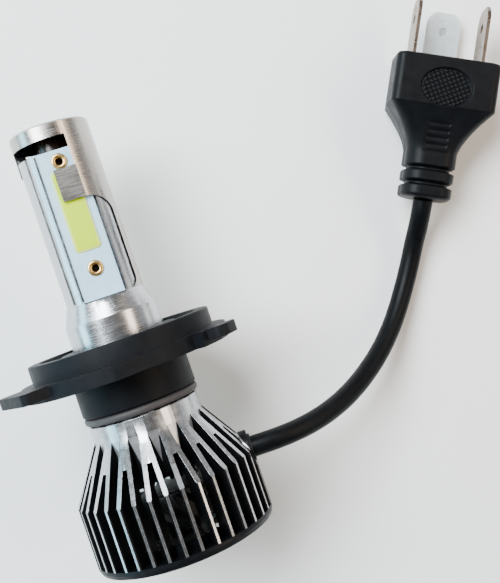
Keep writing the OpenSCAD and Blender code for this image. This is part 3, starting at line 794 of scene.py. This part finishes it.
class BULB_OT_boards(bpy.types.Operator):
    """Makes the light boards, the crowned light strips and the rolled brass eyelets"""

    bl_idname = "bulb.boards"
    bl_label = "Light Boards"

    def execute(self, context):
        for side, facing in (("front", 1), ("rear", -1)):
            softened("led_board_" + side, "board_mask", 0.8 * sizes().edge_round)
            node = "emitter_" + side
            strip = self.strip(*face_box(node), facing)
            add_piece("light_strip_" + side, strip, node, "phosphor_gel", 80)
        self.eyelets()
        return {"FINISHED"}

    def strip(self, low, high, facing):
        """A crowned pad: rounded rectangles shrinking to the middle over a flat underside.

        Its height is h(s) = t (1 - s^6)^(1/3) for the share s of the way out."""
        width, length, thick = high - low
        turn = np.arange(96) * FULL_TURN / 96
        corner = 0.0009
        cx, cy = np.cos(turn), np.sin(turn)
        box_x = np.clip(cx * 40, -1, 1) * (width / 2 - corner) + corner * cx
        box_y = np.clip(cy * 40, -1, 1) * (length / 2 - corner) + corner * cy
        share = np.concatenate([np.linspace(0, 0.85, 8), np.linspace(0.88, 1, 9), [1, 0.5, 0]])
        height = thick * (1 - share ** 6) ** (1 / 3)
        height[-3:] = 0
        base = low[2] if facing > 0 else high[2]
        centre = (low + high) / 2
        points = np.stack([
            centre[0] + np.outer(share, box_x), centre[1] + np.outer(share, box_y),
            base + facing * np.repeat(height[:, None], len(turn), 1)], -1)
        quads = grid_quads(len(share), len(turn))
        return mesh_of("light_strip", [(face_turned(points).reshape(-1, 3), quads)])

    def eyelets(self):
        """Four rolled eyelets: one rounded flange profile carried round each hole's axis."""
        low, high = (corner / MM for corner in face_box("board_eyelets"))
        top, flange = high[2], (high[0] - low[0]) / 2
        bore, wall, bottom, steps = 0.72, 1.17, 5.0, 40
        roll = np.linspace(0, np.pi, 11)
        outline = np.vstack([
            [[bore, bottom], [bore, top - 0.25]],
            np.stack([1.16 - 0.44 * np.cos(roll), top - 0.25 + 0.25 * np.sin(roll)], -1),
            [[flange, top - 0.38], [wall, top - 0.4], [wall, bottom], [bore, bottom]]])
        angle = np.arange(steps) * FULL_TURN / steps
        ring = np.stack([
            np.outer(outline[:, 0], np.cos(angle)), np.outer(outline[:, 0], np.sin(angle)),
            np.repeat(outline[:, 1:], steps, 1)], -1).reshape(-1, 3)
        parts = [(face_turned(ring * [1, 1, facing] + [0, y, 0]) * MM,
                  grid_quads(len(outline), steps))
                 for facing in (1, -1) for y in (low[1] + flange, high[1] - flange)]
        add_piece("rolled_eyelets", mesh_of("rolled_eyelets", parts),
                  "board_eyelets", "eyelet_brass", 50)


class BULB_OT_collar(bpy.types.Operator):
    """Makes the collar with softened edges, the grey sealing ring and the rubber grip ring"""

    bl_idname = "bulb.collar"
    bl_label = "Collar and Rings"

    def execute(self, context):
        softened("collar", "collar_paint", sizes().collar_round, 3)
        low, high = (np.array(corner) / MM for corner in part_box("seal_ring"))
        outer, inner = high[0], 9.57
        corners = [(inner, low[1]), (outer, low[1]), (outer, high[1]), (inner, high[1])]
        ring = mesh_of("seal_ring_moulded", [turned(rounded(corners, 0.8, 8) * MM, 128)])
        add_piece("seal_ring_moulded", ring, "seal_ring", "seal_rubber", 60)
        dress(grip_ring="rubber_matt")
        return {"FINISHED"}


class BULB_OT_heatsink(bpy.types.Operator):
    """Finishes the finned heatsink and the grommet that the cable passes"""

    bl_idname = "bulb.heatsink"
    bl_label = "Heatsink"

    def execute(self, context):
        softened("heatsink", "fin_metal", 0.5 * sizes().edge_round)
        dress(cable_grommet="rubber_matt")
        return {"FINISHED"}


class BULB_OT_driver(bpy.types.Operator):
    """Dresses the driver board and its parts inside the heatsink"""

    bl_idname = "bulb.driver"
    bl_label = "Driver"

    def execute(self, context):
        # the cans, screws and chips carry painted shade for the inside of the heatsink
        dress(driver_board="mask_dark", driver_coil="copper_dark", driver_capacitors="can_dark_painted_shade",
              driver_chips="chip_resin_painted_shade", driver_screws="can_dark_painted_shade", supply_wires="wire_red")
        return {"FINISHED"}


class BULB_OT_fan(bpy.types.Operator):
    """Finishes the fan and the rear cover over it"""

    bl_idname = "bulb.fan"
    bl_label = "Fan and Rear Cover"

    def execute(self, context):
        edge = sizes().edge_round
        softened("rear_cover", "cover_paint", 2 * edge, 3)
        softened("fan_rotor", "fan_plastic", edge)
        # the stator and screws carry painted shade for the inside of the heatsink
        dress(fan_base="fan_plastic", fan_bearing="eyelet_brass", fan_board="mask_dark",
              fan_stator="can_dark_painted_shade", fan_coils="copper_dark", fan_shaft="steel_turned",
              fan_magnet="ferrite_core", fan_screws="steel_turned")
        return {"FINISHED"}


class BULB_PT_panel(bpy.types.Panel):
    """Lists the steps that build the lamp"""

    bl_label = "Headlight Bulb"
    bl_space_type = "VIEW_3D"
    bl_region_type = "UI"
    bl_category = "Bulb"

    def draw(self, context):
        for step in STEPS:
            self.layout.operator(step.bl_idname)
        for group in (context.scene.bulb_sizes, context.scene.bulb_finishes):
            for name in type(group).__annotations__:
                self.layout.prop(group, name)


STEPS = (
    BULB_OT_stage, BULB_OT_plug, BULB_OT_cable, BULB_OT_post, BULB_OT_boards,
    BULB_OT_collar, BULB_OT_heatsink, BULB_OT_driver, BULB_OT_fan,
)
CLASSES = (BulbSizes, BulbFinishes, *STEPS, BULB_PT_panel)


def register():
    for cls in CLASSES:
        bpy.utils.register_class(cls)
    bpy.types.Scene.bulb_sizes = PointerProperty(type=BulbSizes)
    bpy.types.Scene.bulb_finishes = PointerProperty(type=BulbFinishes)


def unregister():
    del bpy.types.Scene.bulb_finishes
    del bpy.types.Scene.bulb_sizes
    for cls in reversed(CLASSES):
        bpy.utils.unregister_class(cls)


def main():
    register()
    for step in STEPS:
        group, name = step.bl_idname.split(".")
        getattr(getattr(bpy.ops, group), name)()


if __name__ == "__main__":
    main()
